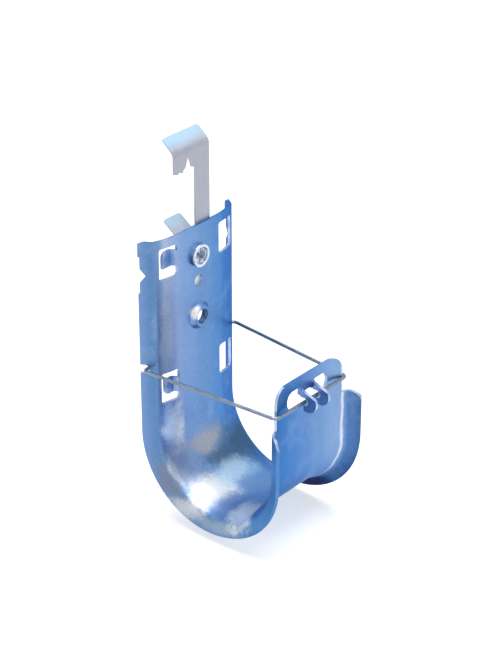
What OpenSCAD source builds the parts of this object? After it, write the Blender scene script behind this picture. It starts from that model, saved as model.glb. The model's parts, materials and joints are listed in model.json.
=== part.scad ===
// J-shaped cable hook stamped from one sheet, with a sprung wire latch across its mouth
// and a riveted spring-steel clip that hangs it from the edge of a beam or a channel.
// +X runs along the cables' axis, -Y points from the back plate to the lip, +Z is up.
// The origin is the centre of the screw hole, on the face of the back plate that the cables touch.

/* [Sheet and saddle] */
// Thickness of the hook's sheet
sheet_t = 1.2; // [1:0.1:1.5]
// Inner radius of the J, where the cables lie
saddle_r = 24.9; // [22:0.2:32]
// Height of the screw hole above the centre of the J
saddle_drop = 40.5; // [36:0.5:50]
// Width of the flat that runs down the middle of the sheet
flat_w = 20.6; // [19:0.2:24]
// Radius of the wide flare beside the flat
flare_r = 30; // [24:1:36]
// Angle that the flare turns through
flare_a = 20; // [16:1:24]
// Radius of the tighter bend outside the flare
edge_r = 4; // [3:0.5:5]
// Angle of the edge flange to the flat
edge_a = 58; // [52:1:66]
// Width of the straight edge flange
edge_l = 4.4; // [3.8:0.1:5]

/* [Back plate] */
// Height of the plate above the screw hole
plate_rise = 36.6; // [36:0.2:42]
// Rounding of the flanges' top corners
plate_corner_r = 2; // [0.5:0.1:3]
// Radius of the screw hole
screw_r = 2.8; // [2.4:0.1:3.5]
// Radius of the raised boss at its foot
boss_r = 5.5; // [5:0.1:6]
// Height of the raised boss
boss_h = 1.9; // [1.2:0.1:2.2]
// Radius of the pilot hole above the boss
pilot_r = 2.3; // [1.5:0.1:2.6]
// Height of the pilot hole above the screw hole
pilot_up = 14.2; // [12:0.2:16]
// Distance between the inner edges of a pair of windows
window_gap = 22.8; // [22:0.2:24]
// Width of a window
window_w = 8.3; // [7.2:0.1:9]
// Height of a window
window_h = 12.4; // [11:0.1:13]
// Corner radius of a window
window_corner = 1; // [0.4:0.1:1.6]
// Distance from the top edge of the plate to the upper windows
window_top = 3.3; // [2.5:0.1:4]
// Distance from the centre of the J to the foot of the lower windows
window_foot = 10.6; // [9:0.2:12]
// Length of a joggled tongue
tongue_l = 5.9; // [5:0.1:6.5]
// Height of a joggled tongue
tongue_h = 6.3; // [5.5:0.1:7]
// How far a tongue is stepped back from the plate
tongue_step = 1.9; // [1.5:0.1:2.2]
// How far a tongue's middle lies beyond its window's middle, away from the screw hole
tongue_shift = 0.6; // [0:0.1:1]

/* [Flange ends] */
// Height of the V notches above the screw hole
vee_up = 23.4; // [22:0.1:25]
// Height of a V notch at its mouth
vee_h = 5.4; // [4:0.2:6]
// Depth of a V notch
vee_d = 1.8; // [1.4:0.1:2.4]
// Height of the step in the flange's edge round the V notch
step_h = 14.6; // [12:0.2:16]
// Depth of that step
step_d = 1.2; // [0.8:0.1:1.5]

/* [Lip] */
// Height of the lip above the centre of the J
lip_rise = 34; // [34:0.2:40]
// Width of the lip above its flanges
lip_w = 37.8; // [36:0.2:39]
// Rounding of the lip's shoulders
lip_corner_r = 5.5; // [4:0.5:7]
// Distance from the lip's top down to its flanges
lip_flange_down = 15.6; // [15:0.2:19]
// Rounding of the flanges' top ends
lip_flange_r = 4.5; // [3:0.5:5]
// Width of the opening in the lip
lip_window_w = 23; // [21:0.5:25]
// Height of the opening in the lip
lip_window_h = 7.4; // [6.8:0.1:8]
// Strip of sheet above the opening
lip_strip = 3.8; // [3.5:0.1:5.5]
// Corner radius of the opening
lip_window_r = 3.3; // [2.5:0.1:3.6]
// Distance between the two latch ears
ear_gap = 6; // [5:0.2:8]
// How far the ears stand out from the lip
ear_l = 7.3; // [6.5:0.1:8]
// Radius of the ears' rounded hooks
ear_r = 3.9; // [3.4:0.1:4.4]
// Angle at which the ears' ramps fall
ear_ramp = 20; // [15:1:25]
// Distance from the opening's top edge down to the ears
ear_down = 1; // [0.5:0.1:1.5]
// Radius of the eye in each ear that holds the wire
ear_eye_r = 1.5; // [1.2:0.1:1.7]
// Gap between the lip and the ears' hooks, where the wire goes in
ear_mouth = 1.6; // [1.5:0.1:2]
// Depth of the web that carries the ears
web_h = 3.4; // [2.8:0.1:4]

/* [Wire latch] */
// Diameter of the latch's wire
wire_d = 1.35; // [1.2:0.05:1.6]
// Half the width of the latch at its pivots
latch_back_w = 25.3; // [25:0.1:27]
// Gap between the latch's arms and the lip's sides
latch_side_gap = 1; // [0.8:0.1:1.6]
// Distance from the lip's face to the middle of the wire
latch_out = 2.1; // [2:0.1:2.6]
// Bend radius of the latch's front corners, at the wire's centre
latch_corner_r = 2.2; // [1.8:0.1:3]
// Bend radius at the pivots, at the wire's centre
latch_pivot_r = 1.6; // [1.4:0.1:2]
// Length of wire turned in behind the plate at each pivot
latch_leg = 6.6; // [6:0.1:7]
// Distance from the screw hole down to the pivots
pivot_down = 14.6; // [14:0.1:16]
// Distance from the plate's face back to the pivots
pivot_back = 5.1; // [4.7:0.1:5.4]
// How far the front bar lies below the pivots
latch_drop = 1.1; // [0.8:0.1:1.4]
// Height of the pivot notches
pivot_notch_h = 3.4; // [3:0.1:4]
// Clearance between the wire and the notches that hold it
wire_gap = 0.12; // [0.05:0.01:0.3]

/* [Hanger clip] */
// Thickness of the clip's spring steel
clip_t = 0.6; // [0.5:0.1:1]
// Height of the clip's top fold above the plate's top edge
clip_rise = 29; // [25:0.5:35]
// Width of the clip's shank
shank_w = 7.9; // [7:0.1:9]
// Distance that the clip's arm reaches to the side of the shank
arm_reach = 11.2; // [11:0.1:12.5]
// Depth of the arm below the fold
arm_h = 6.1; // [5.8:0.1:8]
// Length of the top flange
top_l = 5.5; // [4:0.1:8]
// Angle of the top flange back from upright
top_a = 50; // [30:1:60]
// Width of the slit that grips the beam's edge
slit_w = 0.8; // [0.5:0.1:1.2]
// Depth of the slit
slit_d = 4.3; // [3:0.1:5]
// Width of the lower tab
tab_w = 9; // [7:0.1:10]
// Length of the lower tab
tab_l = 7; // [5:0.1:8]
// Angle of the lower tab back from upright
tab_a = 54; // [40:1:65]
// Gap between the lower tab and the shank
tab_gap = 1.5; // [1:0.1:2.5]
// Rounding of the free corners of the flange and of the tab
leaf_r = 1.2; // [0.5:0.1:2.5]
// Inner radius of the clip's folds
clip_bend_r = 0.8; // [0.5:0.1:1.2]
// Inside radius of the bend at the top of the clip
top_bend_r = 3; // [1:0.1:4]
// Width of the clip behind the plate
clip_base_w = 15.8; // [14:0.2:17]
// Distance from the rivet down to the clip's lower end
clip_base_down = 16; // [14:0.5:18]

/* [Rivet] */
// Height of the rivet above the screw hole
rivet_up = 24.7; // [23:0.1:26]
// Radius of the rivet's head
rivet_head_r = 4.5; // [4:0.1:4.8]
// Height of the rivet's head
rivet_head_h = 1.7; // [1.4:0.1:2]
// Radius of the rivet's shank
rivet_r = 2.6; // [2.2:0.1:2.8]
// Wall of the rivet's rim round its recess
rivet_rim = 1.2; // [1:0.1:1.4]
// Radius of the rivet's upset tail
rivet_tail_r = 3.8; // [3.4:0.1:4.2]

/* [Hidden] */
$fn = 96;
over = 1;                                   // how far a cutter runs past what it cuts
ease = 1.02;                                // a rounding meets the straight sides at a slight angle

// Section of the sheet, drawn as (x, depth): flat, flare, edge bend and straight flange.
arc_steps = 6;                              // straight steps in each bend of the section
flare_end = [flat_w / 2 + flare_r * sin(flare_a), flare_r * (1 - cos(flare_a))];
edge_centre = flare_end + edge_r * [-sin(flare_a), cos(flare_a)];
flange_foot = edge_centre + edge_r * [sin(edge_a), -cos(edge_a)];
flange_tip = flange_foot + edge_l * [cos(edge_a), sin(edge_a)];
sheet_w = 2 * flange_tip[0];                // overall width of the hook
flange_back = flange_tip[1] + sheet_t * cos(edge_a);

saddle_z = -saddle_drop;
lip_y = -2 * saddle_r;                      // the lip's inner face
lip_face = lip_y - sheet_t;                 // the lip's outer face
lip_top = saddle_z + lip_rise;
lip_flange_top = lip_top - lip_flange_down;

upper_window_z = plate_rise - window_top - window_h / 2;
lower_window_z = saddle_z + window_foot + window_h / 2;
tongue_slope = tongue_step;                 // the joggle runs at 45 degrees

wire_lap = 0.02;
wire_thinning = 0.985;
pivot_z = -pivot_down;
bar_z = pivot_z - latch_drop;               // the front bar, in the eyes of the ears
notch_floor = pivot_back - wire_d / 2 - wire_gap;
latch_front_y = lip_face - latch_out;
latch_front_w = lip_w / 2 + latch_side_gap + wire_d / 2;
front_centre = [latch_front_w - latch_corner_r, latch_front_y + latch_corner_r];
back_centre = [latch_back_w - latch_pivot_r, pivot_back - latch_pivot_r];
latch_tilt = asin(latch_drop / (pivot_back - latch_front_y));
arm_span = back_centre - front_centre;      // the arms touch both bends
arm_a = atan2(arm_span[0], arm_span[1]) - asin((latch_corner_r - latch_pivot_r) / norm(arm_span));

lip_window_top = lip_top - lip_strip;
lip_window_z = lip_window_top - lip_window_h / 2;
web_foot = lip_window_top - web_h;
ear_top = lip_window_top - ear_down;
ear_low = bar_z - 2 * ear_r;                // clear below the ears

clip_front = sheet_t;
clip_back = sheet_t + clip_t;
arm_left = -arm_reach;
fold_z = plate_rise + clip_rise;
arm_foot = fold_z - arm_h;
tab_left = -tab_gap - tab_w;
tab_fold_z = plate_rise - 1.8;
clip_foot = rivet_up - clip_base_down;
shoulder_h = 2;                             // depth of the shoulder that the lower tab folds from
slit_x = -3.2;                              // the slit's middle, to the side of the shank
tooth_l = 2.5;                              // length and height of the arm's saw teeth
tooth_h = 0.8;

rivet_bore_r = rivet_head_r - rivet_rim;
rivet_floor = 0.3;                          // the recess stops just in front of the plate
rivet_hole_r = rivet_r + 0.05;
rivet_tail_h = 1;

// Rectangle with rounded corners, centred.
module rounded_rect(w, h, r) {
    square([w - 2 * r, h], center = true);
    square([w, h - 2 * r], center = true);
    for (x = [-1, 1], y = [-1, 1])
        translate([x * (w / 2 - r), y * (h / 2 - r)]) circle(r);
}

// What rounding an outer corner at the origin takes away, with the corner pointing up and right.
module corner_cut(r) {
    translate([-r, -r]) difference() {
        square(r + over);
        circle(r * ease);
    }
}

// Carries a 2D shape drawn as (y, z) along X, from x0 over a width w.
module along_x(x0, w) {
    translate([x0, 0, 0]) rotate([90, 0, 90]) linear_extrude(w) children();
}

// Carries a 2D shape drawn as (x, z) along Y, from y0 over a depth d.
module along_y(y0, d) {
    translate([0, y0 + d, 0]) rotate([90, 0, 0]) linear_extrude(d) children();
}

// Right half of the section's outline at a depth in the sheet, from the flat to the flange's end.
function trace(depth) = concat(
    [for (i = [0 : arc_steps - 1]) let (a = flare_a * i / arc_steps)
        [flat_w / 2, flare_r] + (flare_r - depth) * [sin(a), -cos(a)]],
    [for (i = [0 : arc_steps]) let (a = flare_a + (edge_a - flare_a) * i / arc_steps)
        edge_centre + (edge_r - depth) * [sin(a), -cos(a)]],
    [flange_tip + depth * [-sin(edge_a), cos(edge_a)]]);

function reversed(list) = [for (i = [len(list) - 1 : -1 : 0]) list[i]];

function mirrored(list) = [for (p = reversed(list)) [-p[0], p[1]]];

module section() {
    polygon(concat(mirrored(trace(0)), trace(0), reversed(trace(sheet_t)), reversed(mirrored(trace(sheet_t)))));
}

module plate_sheet() {
    translate([0, 0, saddle_z]) linear_extrude(plate_rise - saddle_z) section();
}

module saddle_sheet() {
    translate([0, -saddle_r, saddle_z]) rotate([-90, 0, 90])
        rotate_extrude(angle = 180) translate([saddle_r, 0]) rotate(-90) section();
}

module lip_sheet() {
    translate([0, lip_y, saddle_z]) mirror([0, 1, 0])
        linear_extrude(lip_flange_top - saddle_z) section();
    translate([0, lip_y, lip_flange_top]) mirror([0, 1, 0])
        linear_extrude(lip_flange_down) intersection() {
            section();
            translate([-lip_w / 2, -over]) square([lip_w, flange_back + 2 * over]);
        }
}

// What is cut from one edge flange of the plate, drawn as (y, z).
module flange_edge_cuts() {
    far = flange_back + over;
    edge = flange_back - step_d;
    translate([edge, vee_up - step_h / 2]) square([far - edge, step_h]);
    polygon([[edge - vee_d, vee_up], [far, vee_up - vee_h / 2 * (far - edge + vee_d) / vee_d],
             [far, vee_up + vee_h / 2 * (far - edge + vee_d) / vee_d]]);
    translate([notch_floor + pivot_notch_h / 2, pivot_z]) {
        circle(pivot_notch_h / 2);
        translate([0, -pivot_notch_h / 2 / ease]) square([far, pivot_notch_h / ease]);
    }
    translate([flange_back, plate_rise]) corner_cut(plate_corner_r);
}

module flange_cutters() {
    for (side = [0, 1]) mirror([side, 0, 0])
        along_x(flare_end[0] - over, sheet_w / 2 - flare_end[0] + 2 * over) flange_edge_cuts();
}

// Rounds off the corners of the lip's shoulders and of its flanges' top ends.
module lip_cutters() {
    for (side = [0, 1]) mirror([side, 0, 0]) {
        along_y(lip_y - flange_back - over, flange_back + 2 * over)
            translate([lip_w / 2, lip_top]) corner_cut(lip_corner_r);
        along_x(lip_w / 2 + 0.5, sheet_w / 2)
            translate([lip_y - flange_back, lip_flange_top]) mirror([1, 0]) corner_cut(lip_flange_r);
    }
}

module window_holes() {
    for (side = [-1, 1], z = [upper_window_z, lower_window_z])
        along_y(-over, sheet_t + flare_end[1] + 2 * over)
            translate([side * (window_gap + window_w) / 2, z]) rounded_rect(window_w, window_h, window_corner);
}

// Tongue that steps back behind the plate from the inner edge of a left window; up is 1 or -1.
module tongue(z, up) {
    root = -window_gap / 2;
    run = tongue_l - tongue_slope;
    middle = z + up * tongue_shift;
    intersection() {
        translate([root, 0, middle - tongue_h / 2]) linear_extrude(tongue_h)
            polygon([[over, 0], [0, 0], [-tongue_slope, tongue_step], [-tongue_slope - run, tongue_step],
                     [-tongue_slope - run, tongue_step + sheet_t], [-tongue_slope, tongue_step + sheet_t],
                     [0, sheet_t], [over, sheet_t]]);
        along_y(-over, tongue_step + sheet_t + 2 * over) translate([root, middle]) scale([1, up]) union() {
            translate([-tongue_l + tongue_h / 3, -tongue_h / 2]) square([tongue_l + over, tongue_h]);
            translate([-tongue_l, -tongue_h / 2]) square([tongue_l, tongue_h * 2 / 3]);
            translate([-tongue_l + tongue_h / 3, tongue_h / 6]) circle(tongue_h / 3);
        }
    }
}

// Raised collar round the screw hole, turned about the hole's axis.
module screw_boss() {
    rotate([90, 0, 0]) rotate_extrude()
        polygon([[boss_r, 0], [screw_r + 1, boss_h], [screw_r, boss_h], [screw_r, -sheet_t],
                 [boss_r, -sheet_t]]);
}

module round_hole(r, z) {
    along_y(-boss_h - over, boss_h + sheet_t + 2 * over) translate([0, z]) circle(r);
}

// One latch ear, drawn as (distance out from the lip's face, z): a ramp above a hook that is open to the lip.
module ear_outline() {
    ramp = tan(ear_ramp);
    difference() {
        union() {
            intersection() {
                translate([ear_l - ear_r, bar_z]) circle(ear_r);
                polygon([[0, ear_top], [ear_l + over, ear_top - (ear_l + over) * ramp],
                         [ear_l + over, ear_low], [0, ear_low]]);
            }
            polygon([[-sheet_t, ear_top], [0, ear_top], [ear_l / 2, ear_top - ear_l / 2 * ramp],
                     [ear_l / 2, web_foot], [-sheet_t, web_foot]]);
        }
        translate([latch_out, bar_z]) circle(ear_eye_r);
        translate([-over, bar_z - ear_eye_r / ease]) square([latch_out + over, 2 * ear_eye_r / ease]);
        translate([-over, ear_low]) square([ear_mouth + over, bar_z - ear_low]);
    }
}

module latch_ears() {
    for (side = [0, 1]) mirror([side, 0, 0])
        along_x(ear_gap / 2, sheet_t) translate([lip_face, 0]) mirror([1, 0]) ear_outline();
    along_y(lip_face, sheet_t) difference() {
        translate([-ear_gap / 2 - sheet_t, web_foot]) square([ear_gap + 2 * sheet_t, web_h + over]);
        translate([0, web_foot]) scale([1, 0.35]) circle(ear_gap / 2 - 0.4);
    }
}

module hook_body() {
    color("lightsteelblue") {
        difference() {
            union() {
                plate_sheet();
                saddle_sheet();
                lip_sheet();
            }
            flange_cutters();
            lip_cutters();
            window_holes();
            round_hole(boss_r, 0);
            round_hole(pilot_r, pilot_up);
            round_hole(rivet_hole_r, rivet_up);
            along_y(lip_face - over, sheet_t + 2 * over) translate([0, lip_window_z])
                rounded_rect(lip_window_w, lip_window_h, lip_window_r);
        }
        screw_boss();
        tongue(upper_window_z, 1);
        tongue(lower_window_z, -1);
        latch_ears();
    }
}

// Straight length of wire from a to b, in the plane of the latch, run a little into the bends.
module wire_run(a, b) {
    d = b - a;
    translate([a[0], a[1], 0]) rotate([0, 0, atan2(d[1], d[0])]) translate([-wire_lap, 0, 0])
        rotate([0, 90, 0]) cylinder(d = wire_d, h = norm(d) + 2 * wire_lap);
}

// Bend of wire round a centre, from angle a0 over a sweep. Wire thins slightly where it is bent.
module wire_bend(centre, r, a0, sweep) {
    translate([centre[0], centre[1], 0]) rotate([0, 0, a0])
        rotate_extrude(angle = sweep) translate([r, 0]) circle(d = wire_d * wire_thinning);
}

module half_latch() {
    outward = [cos(arm_a), -sin(arm_a)];    // away from the latch's middle, square to the arm
    wire_bend(front_centre, latch_corner_r, -90, 90 - arm_a);
    wire_run(front_centre + latch_corner_r * outward, back_centre + latch_pivot_r * outward);
    wire_bend(back_centre, latch_pivot_r, -arm_a, 90 + arm_a);
    wire_run([back_centre[0], pivot_back], [latch_back_w - latch_leg, pivot_back]);
}

module wire_latch() {
    color("silver") translate([0, pivot_back, pivot_z]) rotate([latch_tilt, 0, 0]) translate([0, -pivot_back, 0]) {
        half_latch();
        mirror([1, 0, 0]) half_latch();
        wire_run([-front_centre[0], latch_front_y], [front_centre[0], latch_front_y]);
    }
}

// One side of a fold, r from the bend's centre: upright, bent back by angle a, then straight for a length l.
function fold_trace(r, a, l) = concat([[-r, -over]],
    [for (i = [0 : arc_steps]) let (b = a * i / arc_steps) r * [-cos(b), sin(b)]],
    [r * [-cos(a), sin(a)] + l * [sin(a), cos(a)]]);

// Fold in the clip, drawn as (y, z), that starts to bend at height z with an inside radius r.
module fold_profile(z, r, a, l) {
    translate([clip_back + r, z]) polygon(concat(fold_trace(r + clip_t, a, l), reversed(fold_trace(r, a, l))));
}

// A fold from x0 over a width w, with the two free corners of its leaf rounded.
module fold(x0, w, z, r, a, l) {
    difference() {
        along_x(x0, w) fold_profile(z, r, a, l);
        translate([0, clip_back + r, z]) rotate([-a, 0, 0]) along_y(-r - clip_t - over, clip_t + 2 * over) {
            translate([x0 + w, l]) corner_cut(leaf_r);
            translate([x0, l]) mirror([1, 0]) corner_cut(leaf_r);
        }
    }
}

// The arm with its slit and saw teeth, drawn as (x, z).
module toothed_arm() {
    slit_left = slit_x - slit_w / 2;
    slit_right = slit_x + slit_w / 2;
    slit_top = arm_foot + slit_d;
    saw = arm_left + 2 * tooth_l;
    polygon([[arm_left, fold_z], [arm_left, arm_foot],
             [arm_left + tooth_l, arm_foot - tooth_h], [arm_left + tooth_l, arm_foot],
             [saw, arm_foot - tooth_h], [saw, arm_foot], [saw + tooth_l / 2, arm_foot + tooth_h],
             [slit_left, slit_top], [slit_right, slit_top],
             [slit_right, slit_top - 2 * tooth_h], [slit_right + tooth_l / 4, slit_top - 3 * tooth_h],
             [slit_right + tooth_l / 4, arm_foot + tooth_h], [slit_right + tooth_l / 2, arm_foot],
             [over, arm_foot], [over, fold_z]]);
}

// The clip's upright sheet, drawn as (x, z).
module clip_outline() {
    base_left = shank_w - clip_base_w;
    base_top = tab_fold_z - shoulder_h;
    translate([0, clip_foot]) square([shank_w, fold_z - clip_foot]);
    translate([(shank_w + base_left) / 2, (clip_foot + base_top) / 2])
        rounded_rect(clip_base_w, base_top - clip_foot, leaf_r);
    translate([tab_left, base_top - shoulder_h]) square([tab_w, 2 * shoulder_h]);
    toothed_arm();
}

module hanger_clip() {
    color("gainsboro") difference() {
        union() {
            along_y(clip_front, clip_t) clip_outline();
            fold(arm_left, shank_w - arm_left, fold_z, top_bend_r, top_a, top_l);
            fold(tab_left, tab_w, tab_fold_z, clip_bend_r, tab_a, tab_l);
        }
        round_hole(rivet_hole_r, rivet_up);
    }
}

module rivet() {
    reach = clip_back + rivet_tail_h;       // how far the tail stands behind the plate's face
    color("whitesmoke") translate([0, 0, rivet_up]) rotate([90, 0, 0]) rotate_extrude()
        polygon([[0, rivet_floor], [rivet_bore_r, rivet_floor], [rivet_bore_r, rivet_head_h],
                 [rivet_head_r - 0.4, rivet_head_h], [rivet_head_r, rivet_head_h - 0.4], [rivet_head_r, 0],
                 [rivet_r, 0], [rivet_r, -clip_back], [rivet_tail_r, -clip_back],
                 [rivet_tail_r - 0.5, -reach], [0, -reach]]);
}

hook_body();
hanger_clip();
rivet();
wire_latch();
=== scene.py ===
import json
import math
import bmesh
import bpy
import numpy as np
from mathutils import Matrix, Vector

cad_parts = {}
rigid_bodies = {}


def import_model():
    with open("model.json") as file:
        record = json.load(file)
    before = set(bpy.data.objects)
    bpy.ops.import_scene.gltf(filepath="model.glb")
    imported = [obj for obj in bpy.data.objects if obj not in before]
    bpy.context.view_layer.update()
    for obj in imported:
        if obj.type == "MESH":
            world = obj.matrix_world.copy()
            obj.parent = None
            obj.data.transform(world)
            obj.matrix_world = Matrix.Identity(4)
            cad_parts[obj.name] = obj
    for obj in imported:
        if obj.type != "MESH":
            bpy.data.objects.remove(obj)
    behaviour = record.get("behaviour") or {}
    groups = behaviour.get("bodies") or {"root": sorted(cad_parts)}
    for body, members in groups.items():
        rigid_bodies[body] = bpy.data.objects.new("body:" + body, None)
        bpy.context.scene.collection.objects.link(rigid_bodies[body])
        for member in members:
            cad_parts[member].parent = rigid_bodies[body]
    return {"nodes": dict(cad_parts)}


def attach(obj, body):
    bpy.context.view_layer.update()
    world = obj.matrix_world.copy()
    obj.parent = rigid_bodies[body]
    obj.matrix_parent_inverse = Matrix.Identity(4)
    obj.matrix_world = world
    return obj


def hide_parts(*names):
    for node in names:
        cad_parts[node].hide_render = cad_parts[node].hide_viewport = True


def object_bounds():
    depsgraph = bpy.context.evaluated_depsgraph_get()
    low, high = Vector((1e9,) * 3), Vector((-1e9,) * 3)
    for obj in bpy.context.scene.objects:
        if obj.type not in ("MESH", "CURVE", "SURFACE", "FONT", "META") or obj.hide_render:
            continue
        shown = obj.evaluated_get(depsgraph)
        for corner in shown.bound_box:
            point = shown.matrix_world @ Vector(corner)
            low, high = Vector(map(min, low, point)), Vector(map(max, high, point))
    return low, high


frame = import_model()
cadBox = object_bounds()
print("frame loaded:", sorted(frame["nodes"]))

mm = 0.001

def arc(centre, radius, startDeg, endDeg, steps):
    # centre + radius * (cos a, sin a), for a running evenly from startDeg to endDeg
    a = np.radians(np.linspace(startDeg, endDeg, steps))
    return np.stack([centre[0] + radius * np.cos(a), centre[1] + radius * np.sin(a)], 1)


def roundedOutline(width, height, radius, centre=(0, 0), steps=9):
    # a rectangle whose four corners are quarter arcs
    x, y = width / 2 - radius, height / 2 - radius
    corners = [(x, y, 0), (-x, y, 90), (-x, -y, 180), (x, -y, 270)]
    return np.concatenate([arc((centre[0] + cx, centre[1] + cy), radius, a, a + 90, steps) for cx, cy, a in corners])


def sweepFaces(stations, loop, closedPath=False):
    # quads between each point of a closed loop and its neighbours at the next station
    rows = np.arange(stations if closedPath else stations - 1)[:, None]
    cols = np.arange(loop)[None, :]
    nextRow, nextCol = (rows + 1) % stations, (cols + 1) % loop
    a, b = rows * loop + cols, rows * loop + nextCol
    c, d = nextRow * loop + nextCol, nextRow * loop + cols
    return np.stack([a, b, c, d], -1).reshape(-1, 4)


def meshFrom(name, points, faces, materials=(), smoothDeg=32):
    # points in millimetres; flat rows of quads or a list of polygons
    mesh = bpy.data.meshes.new(name)
    mesh.from_pydata((np.asarray(points, float).reshape(-1, 3) * mm).tolist(), [], [list(map(int, f)) for f in faces])
    for m in materials:
        mesh.materials.append(m)
    finishNormals(mesh, smoothDeg)
    piece = bpy.data.objects.new(name, mesh)
    bpy.context.scene.collection.objects.link(piece)
    return piece


def finishNormals(mesh, smoothDeg=32):
    work = bmesh.new()
    work.from_mesh(mesh)
    bmesh.ops.remove_doubles(work, verts=work.verts, dist=1e-7)
    bmesh.ops.recalc_face_normals(work, faces=work.faces)
    work.to_mesh(mesh)
    work.free()
    mesh.shade_smooth()
    mesh.set_sharp_from_angle(angle=math.radians(smoothDeg))


def prism(name, outline, axis, low, high, material, sides=None):
    # an outline carried in a straight line along one axis from low to high; the sides may have their own material
    n = len(outline)
    order = {"x": (2, 0, 1), "y": (0, 2, 1), "z": (0, 1, 2)}[axis]
    ends = np.repeat([low, high], n)
    flat = np.tile(np.asarray(outline, float), (2, 1))
    points = np.column_stack([flat, ends])[:, order]
    walls = sweepFaces(2, n).tolist()
    caps = [list(range(n)), list(range(2 * n - 1, n - 1, -1))]
    piece = meshFrom(name, points, walls + caps, [material, sides] if sides else [material])
    if sides:
        along = "xyz".index(axis)
        for face in piece.data.polygons:
            face.material_index = int(abs(face.normal[along]) < 0.5)
    return piece


def turned(name, profile, material, centre=(0, 0, 0), steps=96, smoothDeg=32, closed=True):
    # (r, y) profile turned about the Y axis: (r cos t, y, r sin t)
    t = np.linspace(0, 2 * np.pi, steps, endpoint=False)[:, None]
    r, y = profile[:, 0][None, :], profile[:, 1][None, :]
    points = np.stack([r * np.cos(t) + centre[0], np.broadcast_to(y, (steps, len(profile))) + centre[1],
                       r * np.sin(t) + centre[2]], -1)
    return meshFrom(name, points, sweepFaces(steps, len(profile), closedPath=True), [material], smoothDeg)


def cutAway(piece, cutters):
    # takes the cutters out of a piece; the cut faces keep the cutters' own finish
    group = bpy.data.collections.new("cutters")
    for c in cutters:
        bpy.context.scene.collection.objects.unlink(c)
        group.objects.link(c)
    cut = piece.modifiers.new("cut", "BOOLEAN")
    cut.operation, cut.solver, cut.operand_type, cut.collection = "DIFFERENCE", "EXACT", "COLLECTION", group
    cut.material_mode = "TRANSFER"
    applyModifiers(piece)
    for c in cutters:
        bpy.data.objects.remove(c)
    bpy.data.collections.remove(group)


def applyModifiers(piece):
    graph = bpy.context.evaluated_depsgraph_get()
    baked = bpy.data.meshes.new_from_object(piece.evaluated_get(graph))
    piece.modifiers.clear()
    piece.data = baked


def joinPieces(name, pieces):
    for p in bpy.context.view_layer.objects:
        p.select_set(p in pieces)
    bpy.context.view_layer.objects.active = pieces[0]
    bpy.ops.object.join()
    pieces[0].name = name
    return pieces[0]


def colour(code):
    # sRGB hex to linear
    c = np.array([int(code[i:i + 2], 16) for i in (0, 2, 4)]) / 255
    lin = np.where(c <= 0.04045, c / 12.92, ((c + 0.055) / 1.055) ** 2.4)
    return (*lin.tolist(), 1.0)


def addNode(tree, kind, settings=None, links=None):
    # settings are socket values or node properties; links are socket: (node, output)
    node = tree.nodes.new(kind)
    for key, value in (settings or {}).items():
        if isinstance(key, str) and hasattr(node, key) and key not in node.inputs:
            setattr(node, key, value)
        else:
            node.inputs[key].default_value = value
    for key, (source, output) in (links or {}).items():
        tree.links.new(source.outputs[output], node.inputs[key])
    return node


def startMaterial(name):
    material = bpy.data.materials.new(name)
    material.use_nodes = True
    material.node_tree.nodes.clear()
    return material, material.node_tree


def rampStops(node, stops):
    # stops are (place, colour)
    elements = node.color_ramp.elements
    while len(elements) < len(stops):
        elements.new(0.5)
    for e, (place, c) in zip(elements, stops):
        e.position, e.color = place, c


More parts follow.
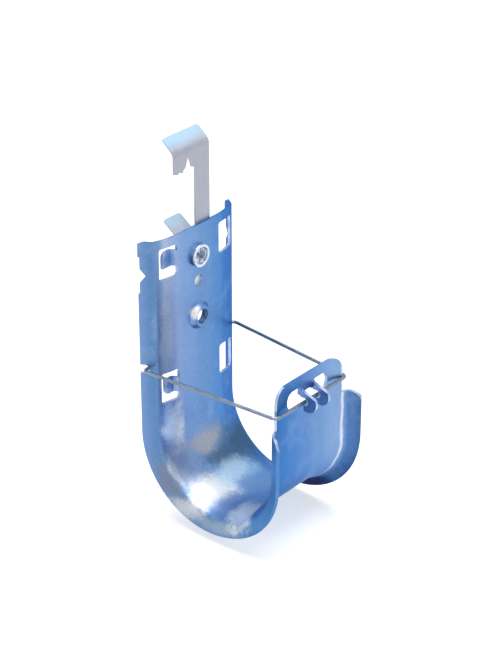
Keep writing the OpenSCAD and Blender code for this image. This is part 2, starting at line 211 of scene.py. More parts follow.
# Pre-galvanised sheet steel, cold stamped: a zinc skin with a soft cool sheen. Its colour bands across the
# width, which change from the plate to the lip, are painted highlights along the bends and painted shade on the
# flanges; patches of painted highlight, reflection and shade lie over them, with faint crystals, a few pale
# clouds and fine rolling lines.
zincSheet = dict(
    # bands across the width in mm from the middle: painted highlights along the bends, painted shade on the flanges and
    # the far side
    plate=[(-25, "7A9ACC"), (-22.5, "628CBE"), (-20, "7C9ECC"), (-17.5, "B2C2E2"), (-13, "9AB2DE"), (-7, "84A8DA"),
           (4, "719BCF"), (11, "5E92CE"), (15, "4C80C4"), (22, "4474B8")],
    lip=[(-21, "588CC4"), (-14, "4C84C6"), (-8, "558ACA"), (0, "6A94CE"), (7, "7EA4D3"), (13, "8AADDC"), (18.2, "8CABD8"),
         (19.2, "E4EEFF"), (20.2, "7596CC"), (21.5, "5580B8"), (25, "3C6396")],
    # centre, reach along x, y and z, tone and strength of each painted highlight, painted reflection and painted shade
    # laid on the sheet
    paintedLightAndShade=[
        # painted highlight along the plate's near flare
        ((-17.5, 1.3, -8), (3.6, 3, 26), "D2E0EE", 0.85),
        # painted shade and dark reflections in the saddle's bottom
        ((8, -7, -57), (24, 9, 10), "5C7EA4", 0.7),
        ((13.8, -8.5, -58.5), (15, 11, 10), "46688C", 0.95),
        ((0, -6.5, -60), (12, 5, 5), "54708C", 0.8),
        # painted pale reflection in the saddle
        ((-1, -3.2, -52.5), (12, 5, 8), "B8BEC8", 0.9),
        # painted highlight on the flare below the lower left window
        ((-14.4, 0.5, -42), (5.6, 5, 16), "FFFFFF", 1.0),
        # painted grey reflection on the near flange's lower part
        ((-22.8, -6, -60), (3.2, 14, 14), "8693AB", 0.85),
        # painted highlights along the near flange's rim
        ((-24, -13, -67), (3, 12, 5), "DADEE6", 0.9),
        ((-23.4, -28, -70), (3, 12, 4), "A9BED4", 0.8),
        # painted highlight along the near flange's fold
        ((-19.7, -5, -58), (1.8, 9, 14), "DCE6EE", 0.8),
        # painted highlights and pale reflections on the saddle's bottom
        ((-12, -16, -64.5), (13, 10, 8), "EEF4F6", 0.95),
        ((3, -14.4, -63), (13, 7, 6), "B4D4EC", 0.8),
        ((-16, -37, -64.5), (11, 10, 7), "F0FAFF", 0.95),
        ((-5, -37, -63), (8, 8, 6), "84B8E6", 0.8),
        # painted shade under the saddle and on the far flange
        ((23, -37, -70), (7, 17, 9), "0C2450", 1.0),
        ((26, -58, -62), (7, 12, 13), "184082", 0.85),
        # painted shade on the window tongues
        ((-14.3, 3, 27.1), (5, 2.8, 6), "5580BE", 0.9),
        ((-14.3, 3, -23.7), (5, 2.8, 6), "2F6CB6", 0.95),
        # painted highlight on the boss's upper-left slope
        ((-3.6, -1.3, 2.8), (3, 1.8, 3.2), "FFFFFF", 1.0),
        # painted shade in and round the screw hole
        ((0, 0.6, 0), (5, 2.9, 5), "081222", 1.0),
        # painted light on the ears
        ((0, -56, -19), (13, 7, 7), "8CB2DE", 0.85),
    ],
    cloud="A9C0E4", cloudSize=9.0, cloudAmount=0.25, crystalSize=0.7, lineWidth=0.35, grainSize=0.6, ragged=0.2, wander=0.3,
    roughness=0.36, roughnessSpread=0.08, metallic=0.72, bump=0.02, edgeTint="86ACE6",
)


def mixedTone(tree, fac, below, above):
    # below and above are a (node, output) pair or a colour code
    settings, links = {"data_type": "RGBA"}, {0: fac}
    for socket, tone in ((6, below), (7, above)):
        if isinstance(tone, str):
            settings[socket] = colour(tone)
        else:
            links[socket] = tone
    return addNode(tree, "ShaderNodeMix", settings, links)


def addPaintedLightAndShade(tree, place, tone, paintedLightAndShade, ragged=None):
    # Lays each patch of painted light and shade over the last tone, full inside an ellipsoid round its centre and
    # none outside; ragged moves the border in and out.
    for centre, reach, code, amount in paintedLightAndShade:
        off = addNode(tree, "ShaderNodeVectorMath", {"operation": "SUBTRACT", 1: [c * mm for c in centre]}, {0: (place, "Object")})
        share = addNode(tree, "ShaderNodeVectorMath", {"operation": "DIVIDE", 1: [r * mm for r in reach]}, {0: (off, "Vector")})
        away = addNode(tree, "ShaderNodeVectorMath", {"operation": "LENGTH"}, {0: (share, "Vector")})
        if ragged:
            away = addNode(tree, "ShaderNodeMath", {"operation": "ADD"}, {0: (away, "Value"), 1: ragged})
        fac = addNode(tree, "ShaderNodeMapRange", {"interpolation_type": "SMOOTHSTEP", "From Min": 1.05, "From Max": 0.3, "To Max": amount},
                      {"Value": (away, "Value")})
        tone = (mixedTone(tree, (fac, "Result"), tone, code), 2)
    return tone


def acrossWidth(tree, x, stops):
    # colour bands by position across the width, in millimetres from the middle
    low, high = stops[0][0], stops[-1][0]
    place = addNode(tree, "ShaderNodeMapRange", {"From Min": low * mm, "From Max": high * mm}, {"Value": (x, "X")})
    bands = addNode(tree, "ShaderNodeValToRGB", links={"Fac": (place, "Result")})
    bands.color_ramp.interpolation = "EASE"
    rampStops(bands, [((at - low) / (high - low), colour(code)) for at, code in stops])
    return bands


def makeZincSheet(s, name="galvanisedSheetSteel"):
    material, tree = startMaterial(name)
    place = addNode(tree, "ShaderNodeTexCoord")
    wander = addNode(tree, "ShaderNodeTexNoise", {"Scale": 1 / (s["cloudSize"] * mm), "Detail": 2.0}, {"Vector": (place, "Object")})
    offset = addNode(tree, "ShaderNodeVectorMath", {"operation": "SCALE", "Scale": 2 * mm}, {0: (wander, "Color")})
    moved = addNode(tree, "ShaderNodeVectorMath", {"operation": "ADD"}, {0: (place, "Object"), 1: (offset, "Vector")})
    shifted = addNode(tree, "ShaderNodeVectorMath", {"operation": "SUBTRACT", 1: (1 * mm, 1 * mm, 1 * mm)}, {0: (moved, "Vector")})
    axes = addNode(tree, "ShaderNodeSeparateXYZ", links={0: (shifted, "Vector")})
    toLip = addNode(tree, "ShaderNodeMapRange", {"From Min": -15 * mm, "From Max": -42 * mm}, {"Value": (axes, "Y")})
    tone = mixedTone(tree, (toLip, "Result"), (acrossWidth(tree, axes, s["plate"]), "Color"), (acrossWidth(tree, axes, s["lip"]), "Color"))
    clouds = addNode(tree, "ShaderNodeTexNoise", {"Scale": 1 / (s["cloudSize"] * mm), "Detail": 4.0, "Roughness": 0.6},
                     {"Vector": (place, "Object")})
    cloudFac = addNode(tree, "ShaderNodeMapRange", {"From Min": 0.52, "From Max": 0.72, "To Max": s["cloudAmount"]}, {"Value": (clouds, "Fac")})
    tone = mixedTone(tree, (cloudFac, "Result"), (tone, 2), s["cloud"])
    grain = addNode(tree, "ShaderNodeTexNoise", {"Scale": 1 / (s["grainSize"] * mm), "Detail": 5.0, "Roughness": 0.7}, {"Vector": (place, "Object")})
    ragged = addNode(tree, "ShaderNodeMapRange", {"From Min": 0.3, "From Max": 0.7, "To Min": -s["ragged"], "To Max": s["ragged"]},
                     {"Value": (grain, "Fac")})
    drift = addNode(tree, "ShaderNodeMapRange", {"From Min": 0.3, "From Max": 0.7, "To Min": -s["wander"], "To Max": s["wander"]},
                    {"Value": (clouds, "Fac")})
    border = addNode(tree, "ShaderNodeMath", {"operation": "ADD"}, {0: (ragged, "Result"), 1: (drift, "Result")})
    # painted highlights, reflections and shade laid over the tone
    tone = addPaintedLightAndShade(tree, place, (tone, 2), s["paintedLightAndShade"], (border, "Value"))
    crystals = addNode(tree, "ShaderNodeTexVoronoi", {"Scale": 1 / (s["crystalSize"] * mm), "Randomness": 1.0},
                       {"Vector": (place, "Object")})
    crystalTone = addNode(tree, "ShaderNodeMapRange", {"To Min": 0.80, "To Max": 0.92}, {"Value": (crystals, "Color")})
    toned = addNode(tree, "ShaderNodeVectorMath", {"operation": "SCALE"}, {0: tone, "Scale": (crystalTone, "Result")})
    stretched = addNode(tree, "ShaderNodeMapping", {"Scale": (1.0, 0.1, 0.05)}, {"Vector": (place, "Object")})
    lines = addNode(tree, "ShaderNodeTexNoise", {"Scale": 1 / (s["lineWidth"] * mm), "Detail": 2.0}, {"Vector": (stretched, "Vector")})
    roughness = addNode(tree, "ShaderNodeMapRange",
                        {"To Min": s["roughness"] - s["roughnessSpread"] / 2, "To Max": s["roughness"] + s["roughnessSpread"] / 2},
                        {"Value": (lines, "Fac")})
    relief = addNode(tree, "ShaderNodeBump", {"Strength": s["bump"], "Distance": 0.0001}, {"Height": (lines, "Fac")})
    skin = addNode(tree, "ShaderNodeBsdfPrincipled", {"Metallic": s["metallic"], "Specular Tint": colour(s["edgeTint"])},
                   {"Base Color": (toned, "Vector"), "Roughness": (roughness, "Result"), "Normal": (relief, "Normal")})
    addNode(tree, "ShaderNodeOutputMaterial", links={"Surface": (skin, "BSDF")})
    return material


# Plain steels: one colour varied by fine streaks, as rolling, drawing or shearing leaves them, with painted highlights
# and shade laid over it on the clip and the rivet.
shearedEdge = dict(main="B9C8E2", dark="93A9CE", size=2.5, stretch=(1.0, 1.0, 1.0), roughness=0.38, metallic=0.85, bump=0.05)
springSteel = dict(main="B2B5C2", dark="ACAFBC", size=2.5, stretch=(1.0, 1.0, 0.3), roughness=0.45, metallic=0.6, bump=0.01,
                   # painted highlights on the top leaf and the tab leaf, and painted light on the clip's face behind
                   # the pilot hole
                   paintedLightAndShade=[((-1.7, 7, 71), (24, 5.6, 14), "B2D2EC", 1.0), ((-6, 8, 41), (12, 7, 10), "B6D0E8", 1.0),
                            ((1.4, 1.2, 13.8), (4.5, 1.5, 4.5), "F0F4F6", 1.0)])
drawnWire = dict(main="8A97A6", dark="707D8D", size=0.5, stretch=(1.0, 0.1, 1.0), roughness=0.32, metallic=0.9, bump=0.02)
brightZinc = dict(main="D8DFE9", dark="BCC7D9", size=3.0, stretch=(1.0, 1.0, 1.0), roughness=0.26, metallic=0.95, bump=0.03,
                  # painted shade in the rivet's recess and down its left side
                  paintedLightAndShade=[((0.6, -0.4, 24.6), (3.5, 1.7, 3.5), "55647C", 0.85), ((-4.9, -0.4, 22.8), (2.4, 2.2, 5), "3F5E90", 0.9)])


def makeSteel(s, name):
    material, tree = startMaterial(name)
    place = addNode(tree, "ShaderNodeTexCoord")
    stretched = addNode(tree, "ShaderNodeMapping", {"Scale": s["stretch"]}, {"Vector": (place, "Object")})
    streaks = addNode(tree, "ShaderNodeTexNoise", {"Scale": 1 / (s["size"] * mm), "Detail": 3.0}, {"Vector": (stretched, "Vector")})
    tint = addNode(tree, "ShaderNodeValToRGB", links={"Fac": (streaks, "Fac")})
    rampStops(tint, [(0.35, colour(s["dark"])), (0.6, colour(s["main"]))])
    # painted highlights and shade, where the steel has any
    tone = addPaintedLightAndShade(tree, place, (tint, "Color"), s.get("paintedLightAndShade", []))
    roughness = addNode(tree, "ShaderNodeMapRange", {"To Min": s["roughness"] - 0.06, "To Max": s["roughness"] + 0.06},
                        {"Value": (streaks, "Fac")})
    relief = addNode(tree, "ShaderNodeBump", {"Strength": s["bump"], "Distance": 0.0001}, {"Height": (streaks, "Fac")})
    skin = addNode(tree, "ShaderNodeBsdfPrincipled", {"Metallic": s["metallic"]},
                   {"Base Color": tone, "Roughness": (roughness, "Result"), "Normal": (relief, "Normal")})
    addNode(tree, "ShaderNodeOutputMaterial", links={"Surface": (skin, "BSDF")})
    return material


zinc = makeZincSheet(zincSheet)
edgeSteel = makeSteel(shearedEdge, "shearedSteelEdge")
clipSteel = makeSteel(springSteel, "rolledSpringSteel")
wireSteel = makeSteel(drawnWire, "drawnSpringWire")
rivetZinc = makeSteel(brightZinc, "upsetBrightZinc")
print("materials made")

# Sizes in millimetres, as in the part's source.
hook = dict(
    sheet=1.2, saddleR=24.9, saddleDrop=40.5, plateRise=36.6, lipRise=34,
    flatW=20.6, flareR=30, flareA=20, edgeR=4, edgeA=58, edgeL=4.4,
    plateCornerR=2, screwR=2.8, bossR=5.5, bossH=1.9, pilotR=2.3, pilotUp=14.2,
    windowGap=22.8, windowW=8.3, windowH=12.4, windowCorner=1, windowTop=3.3, windowFoot=10.6,
    tongueL=5.9, tongueH=6.3, tongueStep=1.9, tongueShift=0.6,
    veeUp=23.4, veeH=5.4, veeD=1.8, stepH=14.6, stepD=1.2,
    lipW=37.8, lipCornerR=5.5, lipFlangeDown=15.6, lipFlangeR=4.5,
    lipWindowW=23, lipWindowH=7.4, lipStrip=3.8, lipWindowR=3.3,
    earGap=6, earL=7.3, earR=3.9, earRamp=20, earDown=1, earEyeR=1.5, earMouth=1.6, webH=3.4,
    pivotDown=14.6, pivotBack=5.1, notchH=3.4, wireD=1.35, wireGap=0.12, latchOut=2.1, latchDrop=1.1,
    rivetUp=24.7, rivetHoleR=2.65,
)


def sectionTrace(h, depth, side):
    # Half of the sheet's section as (x, depth): a flat, an arc of flareR, an arc of edgeR and a straight flange,
    # each point moved back by depth along the sheet's normal.
    fa, ea = np.radians(h["flareA"]), np.radians(h["edgeA"])
    flat = np.linspace(0, h["flatW"] / 2, 6)[:-1]
    a1 = np.linspace(0, fa, 12)[:-1]
    a2 = np.linspace(fa, ea, 14)
    flareEnd = np.array([h["flatW"] / 2 + h["flareR"] * np.sin(fa), h["flareR"] * (1 - np.cos(fa))])
    centre = flareEnd + h["edgeR"] * np.array([-np.sin(fa), np.cos(fa)])
    foot = centre + h["edgeR"] * np.array([np.sin(ea), -np.cos(ea)])
    along = np.linspace(0, h["edgeL"], 4)[1:]
    x = np.concatenate([flat, h["flatW"] / 2 + (h["flareR"] - depth) * np.sin(a1), centre[0] + (h["edgeR"] - depth) * np.sin(a2),
                        foot[0] + along * np.cos(ea) - depth * np.sin(ea)])
    d = np.concatenate([flat * 0 + depth, h["flareR"] - (h["flareR"] - depth) * np.cos(a1),
                        centre[1] - (h["edgeR"] - depth) * np.cos(a2), foot[1] + along * np.sin(ea) + depth * np.cos(ea)])
    return np.stack([side * x, d], 1)


def sheetLoop(h):
    # the whole section as one closed loop: cable face from left to right, then the back from right to left
    def face(depth):
        return np.concatenate([sectionTrace(h, depth, -1)[::-1], sectionTrace(h, depth, 1)[1:]])
    return np.concatenate([face(0), face(h["sheet"])[::-1]])


def hookPath(h):
    # Points (y, z) and outward directions of the J: straight down the plate, half a turn, straight up the lip.
    top, low, r = h["plateRise"], -h["saddleDrop"], h["saddleR"]
    down = np.linspace(top, low, 48)[:-1]
    turn = np.radians(np.linspace(0, 180, 73))
    up = np.linspace(low, low + h["lipRise"], 24)[1:]
    y = np.concatenate([down * 0, -r + r * np.cos(turn), up * 0 - 2 * r])
    z = np.concatenate([down, low - r * np.sin(turn), up])
    ny = np.concatenate([down * 0 + 1, np.cos(turn), up * 0 - 1])
    nz = np.concatenate([down * 0, -np.sin(turn), up * 0])
    return y, z, ny, nz


def makeSheet(h):
    # Each station of the path carries the section: (x, y + ny * d, z + nz * d).
    loop = sheetLoop(h)
    y, z, ny, nz = hookPath(h)
    m, n = len(y), len(loop)
    x = np.broadcast_to(loop[None, :, 0], (m, n))
    points = np.stack([x, y[:, None] + ny[:, None] * loop[None, :, 1], z[:, None] + nz[:, None] * loop[None, :, 1]], -1)
    half = n // 2
    i = np.arange(half - 1)
    cap = np.stack([i, i + 1, n - 2 - i, n - 1 - i], 1)
    faces = np.concatenate([sweepFaces(m, n), cap[:, ::-1], cap + (m - 1) * n])
    sheet = meshFrom("sheet", points, faces, [zinc, edgeSteel])
    return sheet


def flangeTip(h):
    return sectionTrace(h, 0, 1)[-1], sectionTrace(h, h["sheet"], 1)[-1]


def makeCutters(h):
    tip, tipBack = flangeTip(h)
    back, outX = tipBack[1], tip[0] + 2
    far, edge = back + 3, tipBack[1] - h["stepD"]
    pivotZ, floor = -h["pivotDown"], h["pivotBack"] - h["wireD"] / 2 - h["wireGap"]
    lipTop, lipY = -h["saddleDrop"] + h["lipRise"], -2 * h["saddleR"]
    flangeTop, windowTop = lipTop - h["lipFlangeDown"], lipTop - h["lipStrip"]
    slope = h["veeH"] / 2 / h["veeD"]
    stepped = [(far, h["veeUp"] + h["stepH"] / 2), (edge, h["veeUp"] + h["stepH"] / 2), (edge, h["veeUp"] + h["veeH"] / 2),
               (edge - h["veeD"], h["veeUp"]), (edge, h["veeUp"] - h["veeH"] / 2), (edge, h["veeUp"] - h["stepH"] / 2),
               (far, h["veeUp"] - h["stepH"] / 2)]
    nr = h["notchH"] / 2
    notch = np.concatenate([arc((floor + nr, pivotZ), nr, 90, 270, 25), [(far, pivotZ - nr), (far, pivotZ + nr)]])
    cr = h["plateCornerR"]
    corner = np.concatenate([arc((back - cr, h["plateRise"] - cr), cr, 0, 90, 9), [(back - cr, far + 40), (far + 5, far + 40), (far + 5, h["plateRise"] - cr)]])
    lr = h["lipFlangeR"]
    lipBack = lipY - back
    shoulder = np.concatenate([arc((lipBack + lr, flangeTop - lr), lr, 180, 90, 13), [(lipY + 5, flangeTop), (lipY + 5, lipTop + 5),
                               (lipBack - 5, lipTop + 5), (lipBack - 5, flangeTop - lr)]])
    sr = h["lipCornerR"]
    lipCorner = np.concatenate([arc((h["lipW"] / 2 - sr, lipTop - sr), sr, 0, 90, 15), [(h["lipW"] / 2 - sr, lipTop + 5), (h["lipW"] / 2 + 5, lipTop + 5),
                                (h["lipW"] / 2 + 5, lipTop - sr)]])
    cutters = []

    def cut(outline, axis, low, high):
        cutters.append(prism("cutter", np.asarray(outline), axis, low, high, edgeSteel))

    for side in (-1, 1):
        spanX = sorted((side * (tip[0] - 7), side * outX))
        for outline in (stepped, notch, corner):
            cut(outline, "x", *spanX)
        cut(shoulder, "x", *sorted((side * h["lipW"] / 2, side * outX)))
        cut(lipCorner * [side, 1], "y", lipBack - 2, lipY + 2)
        for z in (h["plateRise"] - h["windowTop"] - h["windowH"] / 2, -h["saddleDrop"] + h["windowFoot"] + h["windowH"] / 2):
            x = side * (h["windowGap"] + h["windowW"]) / 2
            cut(roundedOutline(h["windowW"], h["windowH"], h["windowCorner"], (x, z)), "y", -2, 8)
    for radius, z in ((h["bossR"] - 0.05, 0), (h["pilotR"], h["pilotUp"]), (h["rivetHoleR"], h["rivetUp"])):
        cut(arc((0, z), radius, 0, 360, 65)[:-1], "y", -2, 8)
    cut(roundedOutline(h["lipWindowW"], h["lipWindowH"], h["lipWindowR"], (0, windowTop - h["lipWindowH"] / 2)), "y", lipY - 6, lipY + 2)
    return cutters


def makeBoss(h):
    # collar turned about the screw hole: a rounded ramp up to a flat rim, then the hole's wall
    r, b, t = h["bossR"], h["bossH"], h["sheet"]
    s = np.linspace(0, 1, 14)
    ramp = np.stack([r - (r - h["screwR"] - 0.9) * s, -b * (3 * s ** 2 - 2 * s ** 3)], 1)
    rim = np.array([[h["screwR"] + 0.35, -b], [h["screwR"] + 0.1, -b + 0.08], [h["screwR"], -b + 0.3], [h["screwR"], t - 0.15]])
    under = np.array([[h["screwR"] + 0.15, t], [r, t]])
    return turned("boss", np.concatenate([ramp, rim, under]), zinc, smoothDeg=40)


def makeTongue(h, z, up):
    # a strip that steps back from the window's edge: height falls away at its free end on a quarter of an ellipse
    s = np.linspace(-0.6, h["tongueL"], 40)
    step, t = h["tongueStep"], h["sheet"]
    k = np.clip(s / step, 0, 1)
    y = step * (3 * k ** 2 - 2 * k ** 3)
    root = -h["windowGap"] / 2
    hh, bend = h["tongueH"] / 2, h["tongueH"] / 3
    fall = np.clip((s - (h["tongueL"] - bend)) / bend, 0, 1)
    top = hh - bend * (1 - np.sqrt(np.clip(1 - fall ** 2, 0, 1)))
    zc = z + up * h["tongueShift"]
    high, low = zc + up * top, zc - up * hh * np.ones_like(s)
    x = root - s
    front, back = y, y + t
    points = np.stack([np.stack([x, front, low], 1), np.stack([x, front, high], 1), np.stack([x, back, high], 1), np.stack([x, back, low], 1)], 1)
    n = len(s)
    faces = sweepFaces(n, 4).tolist() + [[0, 1, 2, 3], [4 * n - 1, 4 * n - 2, 4 * n - 3, 4 * n - 4]]
    piece = meshFrom("tongue", points.reshape(-1, 3), faces, [zinc, edgeSteel], 40)
    return piece


def earOutline(h):
    # (distance out from the lip's face, z): the ramp, round the hook's nose, under it, then back round the eye
    lipTop = -h["saddleDrop"] + h["lipRise"]
    windowTop = lipTop - h["lipStrip"]
    top, foot = windowTop - h["earDown"], windowTop - h["webH"]
    barZ = -h["pivotDown"] - h["latchDrop"]
    ramp = math.tan(math.radians(h["earRamp"]))
    cx, r, eye, out = h["earL"] - h["earR"], h["earR"], h["earEyeR"], h["latchOut"]
    a = np.radians(np.linspace(90, -100, 200))
    hookArc = np.stack([cx + r * np.cos(a), barZ + r * np.sin(a)], 1)
    hookArc = hookArc[hookArc[:, 1] < top - hookArc[:, 0] * ramp][::4]
    start = hookArc[0]
    mouth = h["earMouth"]
    lowZ = barZ - math.sqrt(max(r ** 2 - (mouth - cx) ** 2, 0))
    under = arc((cx, barZ), r, -100, math.degrees(math.atan2(lowZ - barZ, mouth - cx)), 8)[1:]
    eyeLow = barZ - math.sqrt(max(eye ** 2 - (out - mouth) ** 2, 0))
    inner = arc((out, barZ), eye, math.degrees(math.atan2(eyeLow - barZ, mouth - out)), 90, 24)
    return np.concatenate([[(-h["sheet"], top), (0, top)], [start], hookArc[1:], under, inner,
                           [(0.02, barZ + eye), (0.02, foot), (-h["sheet"], foot)]])


def makeEars(h):
    face = -2 * h["saddleR"] - h["sheet"]
    outline = earOutline(h) * [-1, 1] + [face, 0]
    ears = []
    for side in (-1, 1):
        low, high = sorted((side * h["earGap"] / 2, side * (h["earGap"] / 2 + h["sheet"])))
        ears.append(prism("ear", outline, "x", low, high, zinc, edgeSteel))
    half, foot = h["earGap"] / 2, -h["saddleDrop"] + h["lipRise"] - h["lipStrip"] - h["webH"]
    a = np.radians(np.linspace(0, 180, 25))
    arch = np.stack([(half - 0.4) * np.cos(a), foot + 0.35 * (half - 0.4) * np.sin(a)], 1)
    web = np.concatenate([[(half + h["sheet"] - 0.02, foot)], arch, [(-half - h["sheet"] + 0.02, foot), (-half - h["sheet"] + 0.02, foot + h["webH"] + 0.5),
                          (half + h["sheet"] - 0.02, foot + h["webH"] + 0.5)]])
    ears.append(prism("web", web, "y", face + 0.01, face + h["sheet"] - 0.01, zinc))
    return ears


sheet = makeSheet(hook)
cutAway(sheet, makeCutters(hook))
finishNormals(sheet.data, 30)
print("sheet cut:", len(sheet.data.polygons), "faces")
upperZ = hook["plateRise"] - hook["windowTop"] - hook["windowH"] / 2
lowerZ = -hook["saddleDrop"] + hook["windowFoot"] + hook["windowH"] / 2
parts = [sheet, makeBoss(hook), makeTongue(hook, upperZ, 1), makeTongue(hook, lowerZ, -1)] + makeEars(hook)
hookBody = joinPieces("hookBody", parts)
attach(hookBody, "hook")
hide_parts("hook_body")
print("hook body built")

latch = dict(backW=25.3, sideGap=1, cornerR=2.2, pivotR=1.6, leg=6.6, sides=24)


def latchPath(h, l):
    # Half of the wire's centre line as (x, y): leg, pivot bend, arm, corner bend and half the front bar,
    # with the arm touching both bends.
    frontY = -2 * h["saddleR"] - h["sheet"] - h["latchOut"]
    frontW = h["lipW"] / 2 + l["sideGap"] + h["wireD"] / 2
    front = np.array([frontW - l["cornerR"], frontY + l["cornerR"]])
    back = np.array([l["backW"] - l["pivotR"], h["pivotBack"] - l["pivotR"]])
    span = back - front
    lean = math.degrees(math.atan2(span[0], span[1]) - math.asin((l["cornerR"] - l["pivotR"]) / np.hypot(*span)))
    leg = np.linspace([l["backW"] - l["leg"], h["pivotBack"]], [back[0], h["pivotBack"]], 8)[:-1]
    pivotBend = arc(back, l["pivotR"], 90, -lean, 20)
    cornerBend = arc(front, l["cornerR"], -lean, -90, 24)
    arm = np.linspace(pivotBend[-1], cornerBend[0], 30)[1:-1]
    bar = np.linspace(cornerBend[-1], [0, frontY], 14)[1:]
    return np.concatenate([leg, pivotBend, arm, cornerBend, bar])


def makeLatch(h, l):
    # A round tube along the centre line: centre + r * (cos t * side + sin t * up).
    half = latchPath(h, l)
    line = np.concatenate([half, (half * [-1, 1])[::-1][1:]])
    ahead = np.gradient(line, axis=0)
    ahead /= np.linalg.norm(ahead, axis=1)[:, None]
    side = np.stack([-ahead[:, 1], ahead[:, 0]], 1)
    t = np.linspace(0, 2 * np.pi, l["sides"], endpoint=False)
    r = h["wireD"] / 2
    pivotZ = -h["pivotDown"]
    flat = line[:, None, :] + r * np.cos(t)[None, :, None] * side[:, None, :]
    z = np.broadcast_to(pivotZ + r * np.sin(t)[None, :], flat.shape[:2])
    points = np.concatenate([flat, z[..., None]], -1)
    drop = math.asin(h["latchDrop"] / (h["pivotBack"] - line[:, 1].min()))
    rel = points - [0, h["pivotBack"], pivotZ]
    y = rel[..., 1] * math.cos(drop) - rel[..., 2] * math.sin(drop)
    zz = rel[..., 1] * math.sin(drop) + rel[..., 2] * math.cos(drop)
    points = np.stack([rel[..., 0], y + h["pivotBack"], zz + pivotZ], -1)
    m, n = points.shape[:2]
    caps = [list(range(n)), list(range(m * n - 1, m * n - n - 1, -1))]
    return meshFrom("wireLatch", points, sweepFaces(m, n).tolist() + caps, [wireSteel], 50)


wireLatch = makeLatch(hook, latch)
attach(wireLatch, "latch")
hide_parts("wire_latch")
print("latch built")

rivetSet = dict(headR=4.5, headH=1.7, boreR=3.3, floor=0.55, r=2.6, tailR=3.8, tailH=1, clipT=0.6, lobes=3, lobeH=0.45)


def makeRivet(h, r):
    # (r, y) profile turned about the hole's axis; the recess's floor waves by cos(lobes * t) * sin(pi * r / bore)
    back = h["sheet"] + r["clipT"]
    rim = arc((r["headR"] - 0.45, -r["headH"] + 0.45), 0.45, 0, -90, 8)
    lipIn = arc((r["boreR"] + 0.35, -r["headH"] + 0.35), 0.35, -90, -180, 6)
    floorR = np.linspace(0.001, r["boreR"] - 0.2, 22)
    floor = np.stack([floorR, np.full_like(floorR, -r["floor"])], 1)
    profile = np.concatenate([floor, [(r["boreR"], -r["floor"] - 0.25)], lipIn[::-1], rim[::-1],
                              [(r["headR"], 0), (r["r"], 0), (r["r"], back), (r["tailR"], back), (r["tailR"] - 0.1, back + r["tailH"] * 0.7),
                               (r["tailR"] - 0.6, back + r["tailH"]), (0.001, back + r["tailH"])]])
    t = np.linspace(0, 2 * np.pi, 96, endpoint=False)[:, None]
    rr, y = profile[:, 0][None, :], profile[:, 1][None, :]
    inFloor = (np.arange(len(profile)) < len(floorR))[None, :]
    wave = inFloor * r["lobeH"] * np.sin(np.pi * np.clip(rr / r["boreR"], 0, 1)) * np.cos(r["lobes"] * t + 0.6)
    points = np.stack([rr * np.cos(t), y - wave, rr * np.sin(t) + h["rivetUp"]], -1)
    m, n = points.shape[:2]
    return meshFrom("rivet", points, sweepFaces(m, n, closedPath=True), [rivetZinc], 45)


rivet = makeRivet(hook, rivetSet)
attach(rivet, "hook")
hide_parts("rivet")
print("rivet built")

# Sizes in millimetres, as in the part's source.
clip = dict(
    t=0.6, rise=29, shankW=7.9, reach=11.2, armH=6.1, topR=3, topA=50, topL=5.5, slitX=-3.2, slitW=0.8, slitD=4.3,
    toothL=2.5, toothH=0.8, tabW=9, tabGap=1.5, tabDown=1.8, tabR=0.8, tabA=54, tabL=7, shoulder=2,
    baseW=15.8, baseDown=16, cornerR=1.2, holeR=2.65,
)


def makeFold(h, c, left, width, z, r, a, length):
    # The sheet's front line (y, z): an arc of r + t through the angle a, then straight; its edges draw in by a
    # quarter arc of cornerR at the free end.
    t, turn = c["t"], np.radians(np.linspace(0, a, 25))
    run = np.concatenate([np.linspace(0, length - c["cornerR"], 6)[1:], length - c["cornerR"] * (1 - np.sin(np.radians(np.linspace(0, 90, 13))[1:]))])
    end = np.radians(a)
    away = np.concatenate([turn * 0, run])
    angle = np.concatenate([turn, run * 0 + end])
    inset = c["cornerR"] * (1 - np.sqrt(np.clip(1 - np.clip((away - length + c["cornerR"]) / c["cornerR"], 0, 1) ** 2, 0, 1)))
    inset = np.minimum(inset, c["cornerR"] * 0.98)
    middle = np.array([h["sheet"] + t + r, z])

    def line(radius):
        return (middle[0] - radius * np.cos(angle) + away * np.sin(end), middle[1] + radius * np.sin(angle) + away * np.cos(end))
    (frontY, frontZ), (backY, backZ) = line(r + t), line(r)
    x0, x1 = left + inset, left + width - inset
    points = np.stack([np.stack([x0, frontY, frontZ], 1), np.stack([x1, frontY, frontZ], 1), np.stack([x1, backY, backZ], 1),
                       np.stack([x0, backY, backZ], 1)], 1)
    n = len(angle)
    faces = sweepFaces(n, 4).tolist() + [[0, 1, 2, 3], [4 * n - 1, 4 * n - 2, 4 * n - 3, 4 * n - 4]]
    return meshFrom("fold", points, faces, [clipSteel], 40)


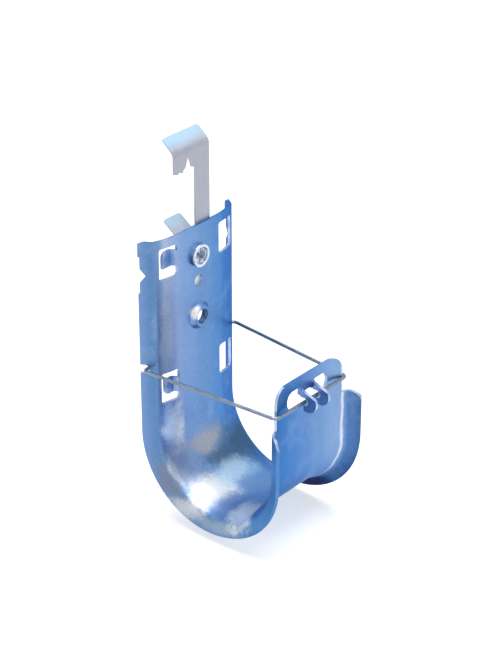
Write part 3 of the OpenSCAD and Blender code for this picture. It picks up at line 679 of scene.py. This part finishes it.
def clipOutline(h, c):
    # once round the clip's upright sheet as (x, z), from the top of the arm's free end
    foldZ = h["plateRise"] + c["rise"]
    foot, left = foldZ - c["armH"], -c["reach"]
    tabZ, baseZ = h["plateRise"] - c["tabDown"], h["rivetUp"] - c["baseDown"]
    saw, top = left + 2 * c["toothL"], foot + c["slitD"]
    slitL, slitR, tl, th = c["slitX"] - c["slitW"] / 2, c["slitX"] + c["slitW"] / 2, c["toothL"], c["toothH"]
    tabRight, shoulderZ, r = -c["tabGap"], tabZ - c["shoulder"], c["cornerR"]
    baseLeft = c["shankW"] - c["baseW"]
    arm = [(left, foldZ), (left, foot), (left + tl, foot - th), (left + tl, foot), (saw, foot - th), (saw, foot), (saw + tl / 2, foot + th),
           (slitL, top), (slitR, top), (slitR, top - 2 * th), (slitR + tl / 4, top - 3 * th), (slitR + tl / 4, foot + th),
           (slitR + tl / 2, foot), (0, foot)]
    return np.concatenate([arm, [(0, shoulderZ), (tabRight, shoulderZ), (tabRight, tabZ), (tabRight - c["tabW"], tabZ),
                                 (tabRight - c["tabW"], shoulderZ - c["shoulder"])],
                           [(baseLeft, shoulderZ - c["shoulder"])], arc((baseLeft + r, baseZ + r), r, 180, 270, 7),
                           arc((c["shankW"] - r, baseZ + r), r, 270, 360, 7), [(c["shankW"], foldZ)]])


def makeClip(h, c):
    # the upright sheet with its rivet hole, and the two leaves folded back from it
    upright = prism("upright", clipOutline(h, c), "y", h["sheet"] + 0.01, h["sheet"] + c["t"], clipSteel)
    hole = prism("cutter", arc((0, h["rivetUp"]), c["holeR"], 0, 360, 49)[:-1], "y", 0, 4, clipSteel)
    cutAway(upright, [hole])
    finishNormals(upright.data, 30)
    foldZ, tabZ = h["plateRise"] + c["rise"], h["plateRise"] - c["tabDown"]
    leaves = [makeFold(h, c, -c["reach"], c["reach"] + c["shankW"], foldZ, c["topR"], c["topA"], c["topL"]),
              makeFold(h, c, -c["tabGap"] - c["tabW"], c["tabW"], tabZ, c["tabR"], c["tabA"], c["tabL"])]
    return joinPieces("hangerClip", [upright] + leaves)


hangerClip = makeClip(hook, clip)
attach(hangerClip, "hook")
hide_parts("hanger_clip")
print("clip built")

for name, material in (("hook_body", zinc), ("rivet", rivetZinc), ("wire_latch", wireSteel), ("hanger_clip", clipSteel)):
    for slot in frame["nodes"][name].material_slots:
        slot.material = material

studio = dict(
    floorTone="F4F4F4", floorGlow=0.55, floorDrop=0.003, floorSize=3.0,
    topPower=7.0, topSize=0.8, topHeight=0.85, sidePower=0.5, sideSize=0.7, world=0.3, lens=112.9, distance=0.7565,
    look=(0.6785, 0.5629, -0.4721), target=(-0.83, -25.0, 1.06),
)


def seenRays(tree):
    # 1 for the rays that come from the camera, from a gloss or through a clear material, else 0
    rays = addNode(tree, "ShaderNodeLightPath")
    gloss = addNode(tree, "ShaderNodeMath", {"operation": "ADD"}, {0: (rays, "Is Camera Ray"), 1: (rays, "Is Glossy Ray")})
    return addNode(tree, "ShaderNodeMath", {"operation": "ADD", "use_clamp": True}, {0: (gloss, "Value"), 1: (rays, "Is Transmission Ray")})


def makeFloor(s):
    lowest = cadBox[0][2] - s["floorDrop"]
    size = s["floorSize"]
    floorMesh = bpy.data.meshes.new("floor")
    floorMesh.from_pydata([(-size, -size, lowest), (size, -size, lowest), (size, size, lowest), (-size, size, lowest)], [], [(0, 1, 2, 3)])
    floor = bpy.data.objects.new("floor", floorMesh)
    bpy.context.scene.collection.objects.link(floor)
    material, tree = startMaterial("paintedFloor")
    paint = addNode(tree, "ShaderNodeBsdfDiffuse", {"Color": colour(s["floorTone"])})
    glow = addNode(tree, "ShaderNodeEmission", {"Color": (1, 1, 1, 1), "Strength": s["floorGlow"]})
    both = addNode(tree, "ShaderNodeAddShader", links={0: (paint, "BSDF"), 1: (glow, "Emission")})
    seen = addNode(tree, "ShaderNodeMixShader", links={0: (seenRays(tree), "Value"), 1: (paint, "BSDF"), 2: (both, "Shader")})
    addNode(tree, "ShaderNodeOutputMaterial", links={"Surface": (seen, "Shader")})
    floorMesh.materials.append(material)


def makeLamp(name, place, aim, power, size, tone):
    lamp = bpy.data.lights.new(name, "AREA")
    lamp.shape, lamp.size, lamp.energy, lamp.color = "DISK", size, power, tone
    holder = bpy.data.objects.new(name, lamp)
    holder.location = place
    holder.rotation_euler = (Vector(aim) - Vector(place)).to_track_quat("-Z", "Y").to_euler()
    bpy.context.scene.collection.objects.link(holder)


def makeWorld(s):
    world = bpy.data.worlds.new("studio")
    world.use_nodes = True
    tree = world.node_tree
    tree.nodes.clear()
    white = seenRays(tree)
    room = addNode(tree, "ShaderNodeBackground", {"Color": (0.94, 0.97, 1.0, 1), "Strength": s["world"]})
    backdrop = addNode(tree, "ShaderNodeBackground", {"Color": (1, 1, 1, 1), "Strength": 1.0})
    mix = addNode(tree, "ShaderNodeMixShader", links={0: (white, "Value"), 1: (room, "Background"), 2: (backdrop, "Background")})
    addNode(tree, "ShaderNodeOutputWorld", links={"Surface": (mix, "Shader")})
    bpy.context.scene.world = world


def makeCamera(s):
    look, target = Vector(s["look"]).normalized(), Vector(s["target"]) * mm
    camera = bpy.data.cameras.new("camera")
    camera.lens, camera.sensor_width = s["lens"], 36
    camera.clip_start, camera.clip_end = 0.01, 20
    holder = bpy.data.objects.new("camera", camera)
    holder.location = target - look * s["distance"]
    holder.rotation_euler = look.to_track_quat("-Z", "Y").to_euler()
    bpy.context.scene.collection.objects.link(holder)
    bpy.context.scene.camera = holder


makeFloor(studio)
makeLamp("top", (0.02, -0.02, studio["topHeight"]), (0, -0.02, 0), studio["topPower"], studio["topSize"], (1, 1, 1))
makeLamp("side", (-0.5, -0.85, 0.3), (0, -0.02, -0.01), studio["sidePower"], studio["sideSize"], (1, 1, 1))
makeWorld(studio)
makeCamera(studio)
bpy.context.scene.view_settings.view_transform = "Standard"

bpy.context.view_layer.update()
print("scene ready")
